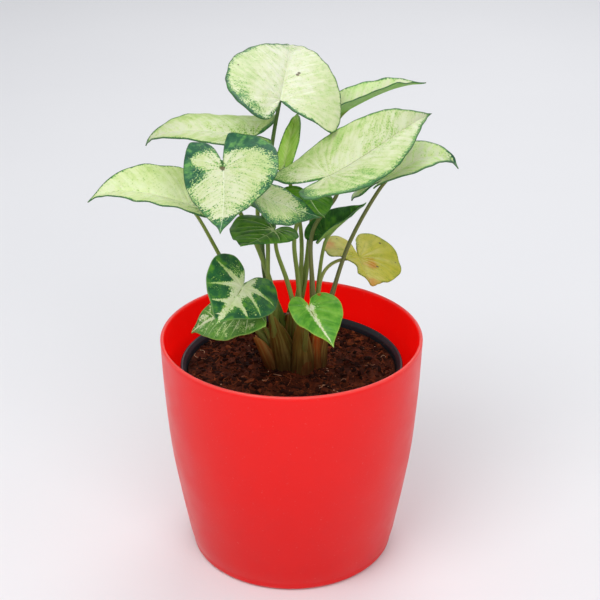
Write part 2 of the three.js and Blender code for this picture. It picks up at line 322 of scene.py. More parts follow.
def coverPotMaterial(name, settings, paintedGlow):
    # the inside copy carries a painted glow: it emits red at the strength given
    material, tree, shader = newMaterial(name, Specular_IOR_Level=0.3, Subsurface_Weight=0.7,
                                         Subsurface_Radius=(1.0, 0.12, 0.1), Subsurface_Scale=0.005,
                                         Emission_Color=tone(255, 12, 4), Emission_Strength=paintedGlow)
    place = objectPlace(tree)
    cloud = grain(tree, place, 14, 4, 0.6)
    color = blendTone(tree, cloud, settings["red"], settings["deepRed"])
    upward = split(tree, place)[2]
    # painted shade: the red darkens from 10 cm up down to the foot
    color = blendTone(tree, ease(tree, upward, 0.1, 0.0, 0.0, 0.5), color, settings["footShadeRed"])
    # painted highlight: a paler band at the rim, where light catches the rolled lip
    top = settings["height"]
    rim = ease(tree, upward, (top - 1.5) * mm, (top - 0.1) * mm)
    color = blendTone(tree, times(tree, rim, 0.6), color, (250, 96, 90))
    dust = ease(tree, grain(tree, place, 900, 2), 0.66, 0.8)
    color = blendTone(tree, times(tree, dust, 0.12), color, (245, 190, 180))
    roughness = ease(tree, grain(tree, place, 60, 3), 0.3, 0.7, 0.3, 0.4)
    height = addUp(tree, grain(tree, place, 700, 2), times(tree, grain(tree, place, 90, 2), 1.5))
    finishMaterial(tree, shader, color, roughness, height, 0.03)
    return material


def addCoverPot(settings):
    wall, top, foot, floor = (settings[key] for key in ("wall", "height", "footRadius", "floor"))
    side = [tuple(p) for p in softCurve(settings["side"], 36)]
    rimMiddle = top - wall / 2
    lip = arc(settings["side"][-1][0] - wall / 2, rimMiddle, wall / 2, 10, 170)
    inside = [(r - wall, z) for r, z in reversed(side) if floor + 4 < z < rimMiddle]
    outside = [p for p in side if p[1] < rimMiddle]
    profile = [(0, 0), (foot - 3, 0), (foot, 0), *arc(foot, 3, 3, -80, -8), *outside, *lip, *inside,
               *arc(foot - 2.2, floor + 3, 3, 0, -85), (foot - 8, floor), (0, floor)]
    plastics = [coverPotMaterial("redPlastic", settings, 0.0),
                coverPotMaterial("redPlasticInside", settings, settings["paintedGlow"])]
    piece = addMesh("cover_pot_shell", turned(profile, settings["steps"]), plastics)
    for face in piece.data.polygons:
        out = face.center.x * face.normal.x + face.center.y * face.normal.y
        isInside = out < 0 and face.normal.z < 0.5 and face.center.z > 3 * mm
        face.material_index = 1 if isInside else 0
    dress(piece, "cover_pot", "cover_pot")


addCoverPot(coverPot)
print("cover pot made")


# Nursery pot

nurseryPot = {
    "floorHeight": 2.8,
    "rimHeight": 102.8,
    "topRadius": 54.0,
    "footRadius": 41.0,
    "wall": 1.2,
    "lipWidth": 1.6,
    "lipHeight": 5.0,
    "drainHoles": {"count": 4, "radius": 4, "circle": 24},
    "steps": 144,
    "black": (30, 38, 48),
}


def nurseryMaterial(settings):
    material, tree, shader = newMaterial("blackPlastic", Specular_IOR_Level=0.4)
    place = objectPlace(tree)
    color = blendTone(tree, grain(tree, place, 40, 4), settings["black"], (20, 25, 32))
    grit = ease(tree, grain(tree, place, 500, 3), 0.6, 0.72)
    color = blendTone(tree, times(tree, grit, 0.5), color, (84, 62, 48))
    finishMaterial(tree, shader, color, ease(tree, grain(tree, place, 80), 0.3, 0.7, 0.32, 0.5),
                   grain(tree, place, 300, 3), 0.05)
    return material


def addNurseryPot(s):
    low, high, wall = s["floorHeight"], s["rimHeight"], s["wall"]
    outer = s["topRadius"] + s["lipWidth"]

    def radiusAt(height):
        return s["footRadius"] + (s["topRadius"] - s["footRadius"]) * (height - low) / (high - low)

    lipLow = high - s["lipHeight"]
    profile = [(0, low), (s["footRadius"] - 2, low), *arc(s["footRadius"] - 0.8, low + 1, 1, -80, -10, 3),
               *[(radiusAt(z), z) for z in (40, 70)], (radiusAt(lipLow) - 0.2, lipLow - 0.2),
               (outer - 0.3, lipLow), (outer, lipLow + 0.4), *arc(outer - 0.7, high - 0.7, 0.7, 0, 80, 3),
               (outer - 1.3, high - 0.1), (outer - 1.5, high - 0.5),
               (s["topRadius"] - wall + 0.3, high - 1.5), (s["topRadius"] - wall, high - 2.2),
               *[(radiusAt(z) - wall, z) for z in (70, 40, low + 2)],
               (radiusAt(low) - wall - 1, low + wall), (0, low + wall)]
    piece = addMesh("nursery_pot_shell", turned(profile, s["steps"]), [nurseryMaterial(s)])
    holes = s["drainHoles"]
    size, circle = holes["radius"] * mm, holes["circle"]
    drill = bmesh.new()
    for i in range(holes["count"]):
        turn = math.tau * i / holes["count"]
        made = bmesh.ops.create_cone(drill, cap_ends=True, segments=24, radius1=size, radius2=size,
                                     depth=6 * mm)
        place = Vector((*onCircle(circle, turn), low)) * mm
        bmesh.ops.translate(drill, verts=made["verts"], vec=place)
    cutter = addMesh("drain_drill", drill, [])
    cut = piece.modifiers.new("drain holes", "BOOLEAN")
    cut.operation = "DIFFERENCE"
    cut.object = cutter
    applyModifiers(piece)
    bpy.data.objects.remove(cutter)
    dress(piece, "nursery_pot", "nursery_pot")


def applyModifiers(piece):
    depsgraph = bpy.context.evaluated_depsgraph_get()
    mesh = bpy.data.meshes.new_from_object(piece.evaluated_get(depsgraph))
    piece.modifiers.clear()
    piece.data = mesh


addNurseryPot(nurseryPot)
print("nursery pot made")


# Soil

soilBed = {
    "top": 99.0,
    "crown": 1.5,
    "bottom": 4.3,
    "topRadius": 52.0,
    "footRadius": 39.7,
    "rings": 74,
    "steps": 190,
    "crumbs": 3000,
    "crumbShape": ((0.8, 1.9), (0.6, 1.1), (0.35, 0.8)),  # least and most each way, to its size
    "fibres": 360,
    "crumbReach": 0.955,  # the share of the bed that they lie on, from its middle
    "fibreReach": 0.93,
    "dark": (16, 6, 3),
    "brown": (70, 28, 13),
    "pale": (170, 112, 70),
    "seed": 11,
}


# Height of the loose soil at a place, in mm
def soilHeight(s, x, y):
    out = math.hypot(x, y) / s["topRadius"]
    at = Vector((x, y, 0))
    lumps = noise.noise(at / 13) * 1.1 + noise.noise(at / 5 + Vector((9, 0, 0))) * 0.9
    grit = noise.noise(at / 2.1 + Vector((0, 7, 0))) * 0.8 + noise.noise(at / 0.9) * 0.4
    rise = s["crown"] * max(0.0, 1 - out ** 2)
    return s["top"] + rise + (lumps + grit) * min(1.0, 4 * (1.02 - out))


def soilMaterial(s):
    material, tree, shader = newMaterial("pottingMix", Specular_IOR_Level=0.1)
    place = objectPlace(tree)
    clump = grain(tree, place, 130, 5, 0.65, 0.4)
    color = toneRamp(tree, clump, [(0.3, s["dark"]), (0.52, s["brown"]), (0.72, (106, 46, 22))])
    strand = tree.nodes.new("ShaderNodeTexVoronoi")
    feed(tree, strand.inputs["Vector"], place)
    strand.inputs["Scale"].default_value = 420
    fleck = ease(tree, strand.outputs["Distance"], 0.0, 0.34, 1, 0)
    fleck = times(tree, fleck, ease(tree, grain(tree, place, 210, 2), 0.56, 0.66))
    color = blendTone(tree, times(tree, fleck, 0.6), color, s["pale"])
    roughness = ease(tree, clump, 0.3, 0.7, 0.95, 0.7)
    finishMaterial(tree, shader, color, roughness, grain(tree, place, 900, 4, 0.7), 0.5)
    return material


def crumbMaterial(s):
    material, tree, shader = newMaterial("barkCrumbs", Specular_IOR_Level=0.12)
    place = objectPlace(tree)
    shade = split(tree, field(tree, "crumbTone"))[0]
    color = toneRamp(tree, shade, [(0.0, (34, 13, 7)), (0.4, (60, 25, 13)), (0.8, (112, 54, 28)),
                                   (0.96, (150, 82, 46)), (1.0, (232, 206, 176))])
    color = blendTone(tree, 0.5, color, toneRamp(tree, grain(tree, place, 800, 3), [
        (0.3, (60, 34, 24)), (0.7, (235, 205, 180))]), "MULTIPLY")
    finishMaterial(tree, shader, color, 0.85, grain(tree, place, 1500, 3), 0.25)
    return material


# Somewhere on the bed, evenly spread over its area up to a share of it
def looseSpot(s, draw, reach):
    out = s["topRadius"] * math.sqrt(draw.uniform(0, reach))
    return onCircle(out, draw.uniform(0, math.tau))


def addSoil(s):
    rings, steps = s["rings"], s["steps"]
    bm = bmesh.new()
    bmesh.ops.create_grid(bm, x_segments=steps, y_segments=rings, size=0.5)
    reach, side, back = 1.12, 0.06, 0.055  # shares of the radius that the grid has past the rim
    for vert in bm.verts:
        turn = (vert.co.x + 0.5) * math.tau
        way = (vert.co.y + 0.5) * reach
        if way <= 1:
            radius = s["topRadius"] * way
            x, y = onCircle(radius, turn)
            vert.co = Vector((x, y, soilHeight(s, x, y))) * mm
        else:  # down the side and back to the middle of the underside
            down = min(1.0, (way - 1) / side)
            radius = s["topRadius"] + (s["footRadius"] - s["topRadius"]) * down
            radius *= min(1.0, (reach - way) / back)
            height = s["top"] + (s["bottom"] - s["top"]) * down
            vert.co = Vector((*onCircle(radius, turn), height)) * mm
    mergeDoubles(bm)
    bmesh.ops.recalc_face_normals(bm, faces=bm.faces[:])
    bed = addMesh("soil_bed", bm, [soilMaterial(s)])
    dress(bed, "soil", "soil")

    draw = random.Random(s["seed"])
    bm = bmesh.new()
    layer = bm.verts.layers.float_vector.new("crumbTone")
    for i in range(s["crumbs"]):
        x, y = looseSpot(s, draw, s["crumbReach"])
        size = 0.35 + 1.5 * draw.random() ** 4
        made = bmesh.ops.create_icosphere(bm, subdivisions=1, radius=1)["verts"]
        stretch = Vector([size * draw.uniform(*limits) for limits in s["crumbShape"]])
        spin = Vector((draw.uniform(-1, 1), draw.uniform(-1, 1), draw.uniform(-2, 2))).normalized()
        turnBy = Vector((0, 0, 1)).rotation_difference(spin)
        shade = draw.uniform(0, 1 if size < 0.6 else 0.96) ** (1.1 if size < 0.8 else 1.8)
        for vert in made:
            co = vert.co * draw.uniform(0.78, 1.2)
            co = turnBy @ Vector((co.x * stretch.x, co.y * stretch.y, co.z * stretch.z))
            vert.co = (co + Vector((x, y, soilHeight(s, x, y) + size * 0.1))) * mm
            vert[layer] = (shade, 0, 0)
    crumbs = addMesh("soil_crumbs", bm, [crumbMaterial(s)], smooth=False)
    dress(crumbs, "soil")

    bm = bmesh.new()
    layer = bm.verts.layers.float_vector.new("crumbTone")
    for i in range(s["fibres"]):
        x, y = looseSpot(s, draw, s["fibreReach"])
        heading, bendBy = draw.uniform(0, math.tau), draw.uniform(-1.4, 1.4)
        length, radius = draw.uniform(3, 11), draw.uniform(0.1, 0.24)
        shade = draw.uniform(0.55, 1.0)
        for vert, around, share in rolledTube(bm, 5, 8):
            along = share - 0.5
            angle = heading + bendBy * along
            thin = radius * max(0.0, 1 - (2 * along) ** 8)
            px = x + math.cos(angle) * along * length - math.sin(angle) * math.cos(around) * thin
            py = y + math.sin(angle) * along * length + math.cos(angle) * math.cos(around) * thin
            if math.hypot(px, py) > s["topRadius"] - 0.6:
                px, py = px * 0.985, py * 0.985
            wave = 0.5 * math.sin(5 * along + shade * 9)
            pz = soilHeight(s, px, py) + 0.35 + math.sin(around) * thin + wave
            vert.co = Vector((px, py, pz)) * mm
            vert[layer] = (shade, 0, 0)
    mergeDoubles(bm)
    fibres = addMesh("soil_fibres", bm, [crumbMaterial(s)])
    dress(fibres, "soil")


addSoil(soilBed)
print("soil made")


# Leaves. Pairs are the left half, then the right half, as seen from the stalk looking to the tip.
# Angles are in degrees and lengths in mm, as in the solids.

commonLeaf = {
    "slot": "pale_leaf",
    "spread": (0.55, 0.55),  # how far the lobe tips stand apart, as a share of the half width
    "roll": 0, "lobeDroop": 10, "twist": 0, "sweep": 0, "wave": 0.5, "bites": (),
    "veinSpacing": 0.125,  # along the midrib, as a share of the length
    "fanAngle": 24,  # between the veins of the lobes
    # looks: a blade is pale where its green, from 0 to 1, stays low
    "cream": (213, 219, 182), "pale": (197, 209, 152), "light": (166, 195, 112),
    "mid": (104, 162, 84), "dark": (46, 102, 68), "deep": (30, 80, 56),
    "ground": 0.0,  # green of the whole blade
    "margin": (2.2, 2.2),  # mm of speckled green along the edge, left and right
    "marginGreen": 0.62,
    "patches": (),  # x, y and radius in mm, and the green added there
    "marks": (),  # x, y and radius in mm, and the tone there
    "band": 0.0,  # half width of the pale band along the midrib, in mm
    "veinBand": 0.0,  # and of the bands along the side veins
    "speck": 1.9, "streak": 0.6, "blot": 0.5, "veinShow": 0.2, "veinTone": (226, 236, 200),
    "midrib": 0.6, "midribTone": (228, 236, 206), "edge": (64, 104, 58), "edgeDark": 0.75,
    "underTone": (176, 206, 126), "underShare": 0.55,
    "stalkTone": (124, 146, 66), "stalkWidth": 1.0,
}

darkLooks = {
    "ground": 1.0, "light": (142, 184, 78), "mid": (92, 148, 44), "dark": (54, 108, 40),
    "deep": (32, 80, 32), "edge": (38, 84, 38), "edgeDark": 0.3, "veinTone": (142, 184, 78),
    "midribTone": (206, 224, 168), "underTone": (124, 168, 84),
}

orange, umber = (206, 136, 42), (84, 66, 34)

# Where each shoot stands on the soil
shootFeet = {"left": (-8, -1), "back": (-1, 8), "front": (6, -7), "right": (13, 1)}

leaves = {
    "front_heart": dict(
        shoot="left", slot="marbled_leaf", seat=(-30, -30, 215), heading=-85, pitch=-25, roll=7,
        length=41, half=(25, 18), lobe=(24, 19), spread=(0.2, 0.75), droop=-8, lobeDroop=7, fold=(7, 10),
        curl=(13, 18), twist=9, sweep=-3, stalk=[(-9.4, -4, 143.6), (-17, 0, 166.7), (-27, -12, 194)],
        seed=3, margin=(6.5, 4.5), marginGreen=0.5, streak=1.5, speck=2.6,
        patches=[(-19, 6, 8, 0.9), (-17, 16, 7.5, 0.75), (-8, 23, 5, 0.35), (-16, -12, 6.5, 0.9),
                 (3, -14, 5.5, 0.75), (-6, -18, 6, 0.6), (-5, -11, 4, -0.3), (40, 3, 8, 0.55),
                 (40, -3, 8, 0.55), (-2, 0, 2, 0.3), (14, 22, 8, 0.2)], marks=[(-0.6, -0.4, 1.3, umber)],
    ),
    "left": dict(
        shoot="left", seat=(-47, -14, 192), heading=175, pitch=17, roll=-1, length=52, half=(18, 23),
        lobe=(14, 16), droop=60, fold=(18, 24), curl=(9, 14), twist=-19, sweep=-3,
        stalk=[(-18, 0, 122), (-35.4, 0, 162)], seed=5, pale=(208, 222, 160), light=(182, 206, 124),
        cream=(220, 230, 184), margin=(1.4, 1.4), streak=0.4,
        patches=[(-12, 12, 9, 0.3), (0, 8, 7, 0.15)], midrib=0.4,
    ),
    "middle_pale": dict(
        shoot="left", slot="marbled_leaf", seat=(-12, -27, 201), heading=0, pitch=-24, roll=2, length=28,
        half=(12, 23), lobe=(12, 12), droop=-3, fold=(14, 10), curl=(11, 18), twist=21, sweep=1,
        stalk=[(-11.3, -4, 150), (-11.1, -4, 167), (-11.8, -5.5, 184)], seed=8, margin=(3, 8),
        marginGreen=0.66, patches=[(22, 4, 8, 0.35), (-8, -18, 7, 0.25)], speck=2.3, streak=0.9,
    ),
    "low_heart": dict(
        shoot="left", slot="marbled_leaf", looks=darkLooks, seat=(-23, -24, 154), heading=-107, pitch=-9,
        roll=-22, length=31, half=(19, 19), lobe=(16, 14), droop=14, lobeDroop=3, fold=(4, 18),
        curl=(30, -7), twist=11, sweep=-2, stalk=[(-9, -10, 128), (-12.5, -17, 143)], seed=13, band=5.4,
        veinBand=2.4, veinSpacing=0.4, fanAngle=52, streak=1.3, speck=2.4,
        patches=[(-9, -4, 7, -0.5), (-4, 4, 5, -0.3), (8, -15, 8, -0.22), (12, 14, 9, -0.22)],
        deep=(26, 78, 46), dark=(42, 100, 56), veinShow=0.35, edge=(120, 156, 78), edgeDark=0.5,
    ),
    "lowest_left": dict(
        shoot="left", slot="marbled_leaf", looks=darkLooks, seat=(-21, -18, 142), heading=171, pitch=-27,
        roll=-16, length=38, half=(21, 16), lobe=(11, 9), spread=(0.9, 0.8), droop=35, fold=(9, 16),
        curl=(22, 23), twist=-8, sweep=-6, stalk=[(-13, -6, 124)], seed=21, ground=0.6, band=1.6,
        veinBand=0.6, blot=2.6, veinShow=0.35, streak=0.3, dark=(82, 132, 46), deep=(58, 110, 40),
        mid=(108, 156, 56), wave=0.9, veinSpacing=0.17, edge=(150, 182, 84), edgeDark=0.5,
    ),
    "top": dict(
        shoot="back", seat=(-5, 20, 232), heading=84, pitch=18, roll=13, length=66, half=(29, 32),
        lobe=(24, 11), spread=(0.42, 0.8), droop=31, lobeDroop=3, fold=(29, 11), curl=(26, 47), twist=-17,
        stalk=[(-11.6, 6, 140), (-14.3, 9, 163), (-9.1, 18, 211)], seed=34, margin=(3.2, 1.4),
        marginGreen=0.5, cream=(225, 229, 201), pale=(210, 219, 171), light=(176, 204, 124),
        patches=[(-20, 17, 9, 0.38), (-8, 26, 8, 0.2), (-3.5, -1.8, 2, 0.5), (-6, -4.4, 2, 0.5),
                 (-8, -7.6, 2, 0.5), (-9.6, -11.5, 2, 0.5), (-10.4, -16, 2, 0.5), (30, 26, 9, 0.15),
                 (52, 8, 10, 0.15)],
        marks=[(21, -6, 0.9, umber), (22.5, -6.6, 0.8, umber), (10, 24, 0.5, umber)],
        stalkTone=(66, 96, 44),
    ),
    "back_left": dict(
        shoot="back", seat=(-18, 14, 216), heading=183, pitch=7, roll=-22, length=63, half=(17, 28),
        lobe=(10, 11), spread=(0.7, 0.8), droop=84, lobeDroop=-20, fold=(16, 8), curl=(0, 60), twist=8,
        sweep=-15, stalk=[(-11.5, 7, 144), (-15.8, 11, 163)], seed=40, pale=(198, 214, 148),
        light=(156, 190, 90), mid=(110, 158, 66), margin=(2, 3),
        patches=[(-4, 4, 13, 0.24), (4, 14, 10, 0.14), (12, 0, 12, 0.1)], speck=1.5,
    ),
    "back_right": dict(
        shoot="back", seat=(23.2, 47.5, 215.9), heading=23, pitch=22, roll=-5, length=51, half=(14, 15),
        lobe=(8, 7), droop=30, fold=(32, 36), curl=(23, 7), twist=11,
        stalk=[(6.7, 10, 144), (10, 20, 171)], seed=44, pale=(200, 220, 156), light=(158, 198, 104),
        underTone=(118, 178, 50), underShare=0.85,
    ),
    "new": dict(
        shoot="back", seat=(-3, 22, 199.5), heading=74, pitch=43, length=35, half=(6, 11), lobe=(5, 5),
        spread=(0.4, 0.4), droop=43, fold=(50, 50), curl=(-6, -6), twist=12, sweep=2, wave=0,
        stalk=[(4.4, 8, 144), (4.4, 14, 170)], seed=50, cream=(222, 238, 168), pale=(188, 222, 112),
        light=(158, 206, 78), mid=(126, 182, 56), dark=(88, 146, 40), ground=-0.1, margin=(0.8, 1.5),
        edgeDark=0.3, underTone=(120, 182, 62),
    ),
    "dark_low": dict(
        shoot="front", slot="dark_leaf", looks=darkLooks, seat=(-8, -24, 183), heading=-124, pitch=-2,
        roll=-1, length=25, half=(12, 22), lobe=(8, 9), droop=-10, fold=(5, 8), curl=(22, 19), twist=13,
        sweep=-1, stalk=[(-1.1, -6, 146), (-6.7, -10, 166)], seed=55, dark=(76, 132, 30),
        deep=(46, 98, 22), mid=(112, 160, 44), veinShow=0.4, veinBand=0.5, veinSpacing=0.24,
    ),
    "dark_middle": dict(
        shoot="front", slot="dark_leaf", looks=darkLooks, seat=(8, -3, 193), heading=-70, pitch=-29,
        roll=-7, length=16, half=(13, 16), lobe=(5, 6), droop=-10, lobeDroop=5, fold=(0, 0),
        curl=(22, 18), sweep=3, stalk=[(3.2, -1, 148), (1.5, -2, 171)], seed=60, dark=(88, 146, 34),
        deep=(56, 114, 28), mid=(116, 164, 48), veinShow=0.3,
    ),
    "front_low": dict(
        shoot="front", slot="dark_leaf", looks=darkLooks, seat=(9, -28, 145), heading=-65, pitch=-26,
        roll=6, length=23, half=(15, 10), lobe=(7, 9), spread=(0.5, 0.45), droop=24, lobeDroop=6,
        fold=(11, 10), curl=(20, 23), sweep=3, stalk=[(7, -15, 122)], seed=66, dark=(96, 158, 48),
        deep=(70, 136, 38), mid=(126, 178, 62), band=1.9, veinSpacing=0.3, veinShow=0.25,
        edge=(168, 192, 76), edgeDark=0.5, midribTone=(230, 236, 204),
        patches=[(-2, 3, 3.5, -0.4), (-2, -3, 3, -0.3)], streak=1.0, speck=1.8,
        marks=[(-6, 7, 1.0, (176, 70, 34))],
    ),
    "right_pale": dict(
        shoot="right", seat=(18, -8, 204), heading=18, pitch=22, roll=5, length=69, half=(25, 28),
        lobe=(25, 22), spread=(0.72, 0.9), droop=41, lobeDroop=-16, fold=(23, 19), curl=(33, 22),
        twist=30, sweep=34, stalk=[(10.1, 0, 147), (10.5, 0.5, 174), (22.5, 6, 189.5)], seed=70,
        light=(156, 192, 96), mid=(108, 164, 70), dark=(58, 118, 58), margin=(1.4, 4), streak=0.8,
        blot=0.7, patches=[(-20, -17, 9, 0.5), (8, -20, 10, 0.2), (-20, 16, 10, 0.28), (34, 8, 12, 0.1)],
        midrib=0.5, midribTone=(98, 106, 54), stalkTone=(104, 110, 62),
    ),
    "right_back": dict(
        shoot="right", seat=(45, 14, 194), heading=26, pitch=25, roll=-10, length=48, half=(22, 15),
        lobe=(17, 9), spread=(0.6, 0.55), droop=85, lobeDroop=13, fold=(11, 16), curl=(26, 9), twist=45,
        sweep=6, stalk=[(20.4, 4, 139), (29.1, 10, 164.5)], seed=77, pale=(200, 222, 144),
        light=(164, 202, 98), patches=[(46, 0, 8, 0.5)], stalkTone=(104, 106, 60),
    ),
    "small_right": dict(
        shoot="right", slot="dark_leaf", looks=darkLooks, seat=(17, 6, 168), heading=35, pitch=24,
        roll=-3, length=29, half=(11, 13), lobe=(8, 8), droop=11, fold=(35, 39), curl=(6, -4), twist=10,
        sweep=4, stalk=[(13.5, 6, 145)], seed=81, ground=0.34, cream=(160, 196, 92), pale=(144, 186, 74),
        patches=[(14, 7, 12, 0.8), (-4, 5, 7, 0.4)], veinShow=0.25, veinSpacing=0.2,
    ),
    "yellow": dict(
        shoot="right", slot="yellow_leaf", seat=(34, 24, 148), heading=-77, pitch=-13, roll=-17,
        length=25, half=(23, 19), lobe=(20, 18), spread=(0.3, 0.47), droop=-5, lobeDroop=0, fold=(10, 20),
        curl=(18, 37), twist=-17, stalk=[(15, 8, 146), (22, 16, 150)], seed=90, stalkTone=(150, 158, 84),
        stalkWidth=0.85, cream=(206, 194, 74), pale=(194, 186, 56), light=(166, 168, 44),
        mid=(142, 150, 42), dark=(112, 122, 42), deep=(84, 92, 34), blot=1.0, margin=(2, 2),
        marginGreen=0.3, veinShow=0.25, veinTone=(168, 164, 60), midribTone=(206, 196, 104), edgeDark=0.3,
        bites=[(12.5, -14, 7.8), (23, 6.5, 3.4), (25.6, 0, 2.6)], underTone=(186, 180, 82),
        marks=[(4, 5, 4, orange), (21, 2, 5, orange), (-8, -17, 6, orange), (6, 8, 0.8, umber),
               (-12, 14, 0.7, umber), (0, 20, 0.5, umber), (-14, -9, 0.5, umber)],
    ),
}

bladeForm = {
    "thickness": 0.55,
    "columns": 144,  # round the margin
    "rings": 34,  # from the stalk to the margin
    "midribGroove": 0.5,  # depth in mm
    "quilting": 0.34,  # how far the blade bulges between its veins
    "ripple": 1.0,  # mm, growing towards the margin
    "unevenness": 0.022,  # how far the margin falls in and out, as a share of its reach
    "veinSlant": 0.62,  # how far the side veins lean to the tip, for each mm outwards
}


# From the notch round the half margin to the tip
def halfMargin(leaf, side, count):
    wide = leaf["half"][side] * (1 if side == 0 else -1)
    spread, lobe, length = leaf["spread"][side], leaf["lobe"][side], leaf["length"]
    front = [(1, 0), (0.9, 0.085), (0.76, 0.3), (0.56, 0.62), (0.32, 0.89), (0.06, 1)]
    back = [(0.45, 0.97), (0.82, spread + (1 - spread) * 0.55), (1, spread), (0.86, spread * 0.42),
            (0.5, spread * 0.15)]
    keys = [(x * length, y * wide) for x, y in front] + [(-x * lobe, y * wide) for x, y in back]
    keys.append((-0.1 * min(leaf["lobe"]), 0))
    return softCurve(keys, count)[::-1]


# Mean of a smooth value from 0 to 1
def average(value):
    return (5 * value(0.1127) + 8 * value(0.5) + 5 * value(0.8873)) / 18


# Lateral veins: which vein a point lies by, how far along it, and how far apart the veins are there
def veinField(leaf, form, x, y):
    side = 0 if y >= 0 else 1
    out = abs(y)
    forward = x - 0.3 * out * out / leaf["half"][side]
    spacing = leaf["veinSpacing"] * leaf["length"]
    start = forward - form["veinSlant"] * out
    if start >= 0:
        phase = start / spacing
        phase += 0.5 * noise.noise(Vector((phase * 0.8, 3 * side, leaf["seed"])))
        return phase, out * 1.18, spacing * 0.85
    angle = math.degrees(math.atan2(out, forward) - math.atan2(1, form["veinSlant"]))
    run = math.hypot(forward, out)
    return -angle / leaf["fanAngle"], run, run * math.radians(leaf["fanAngle"])


# Where a point of the flat blade lies once the blade is bent and set on its stalk
def bentPoint(leaf, x, y, relief=0.0):
    side = 0 if y >= 0 else 1
    reach = max(leaf["lobe"])

    def slope(run):
        if run >= 0:
            return math.radians(leaf["pitch"] - leaf["droop"] * (run / leaf["length"]) ** 2)
        return math.radians(leaf["pitch"] - leaf["lobeDroop"] * run / reach)

    alongRun = x * average(lambda u: math.cos(slope(x * u)))
    alongRise = x * average(lambda u: math.sin(slope(x * u)))
    angle = slope(x)
    out = abs(y) / leaf["half"][side]

    def tilt(u):
        return math.radians(leaf["fold"][side] - leaf["curl"][side] * out * u)

    across = y * average(lambda u: math.cos(tilt(u)))
    lift = abs(y) * average(lambda u: math.sin(tilt(u)))
    lift += leaf["wave"] * out ** 2 * math.sin(3 * math.pi * x / leaf["length"] + 2.1 * side) + relief
    turn = math.radians(leaf["twist"]) * x / leaf["length"]
    across, lift = (across * math.cos(turn) - lift * math.sin(turn),
                    across * math.sin(turn) + lift * math.cos(turn))
    if x > 0:
        across += leaf["sweep"] * (x / leaf["length"]) ** 2
    point = Vector((alongRun - math.sin(angle) * lift, across, alongRise + math.cos(angle) * lift))
    pitch, roll, heading = (math.radians(leaf[key]) for key in ("pitch", "roll", "heading"))
    point.rotate(Quaternion((math.cos(pitch), 0, math.sin(pitch)), roll))
    point.rotate(Quaternion((0, 0, 1), heading))
    return point + Vector(leaf["seat"])


# How far a point of the blade stands out of the smooth form, by its veins and ripples
def bladeRelief(leaf, form, x, y, share, veins):
    phase, run, _ = veins
    fade = max(0.0, min(1.0, 1.05 - x / leaf["length"]))
    groove = form["midribGroove"] * math.exp(-((y / 0.9) ** 2)) * fade
    if x < 0:
        groove *= max(0.0, 1 + x / 3)
    bulge = (0.5 - math.cos(math.tau * phase) / 2) ** 0.7
    bulge *= form["quilting"] * min(1.0, run / 5) * (1 - share ** 5)
    ripple = form["ripple"] * share ** 4 * noise.noise(Vector((x / 7, y / 7, leaf["seed"])))
    return bulge - groove + ripple


# How near a place on the flat blade is to a point in mm: 1 close by, half at the radius, 0 further out
def nearTo(tree, plane, x, y, radius, hard=0.5):
    node = tree.nodes.new("ShaderNodeVectorMath")
    node.operation = "DISTANCE"
    feed(tree, node.inputs[0], plane)
    node.inputs[1].default_value = (x / 10, y / 10, 0)
    return ease(tree, node.outputs["Value"], radius / 10 * (2 - hard), radius / 10 * hard)


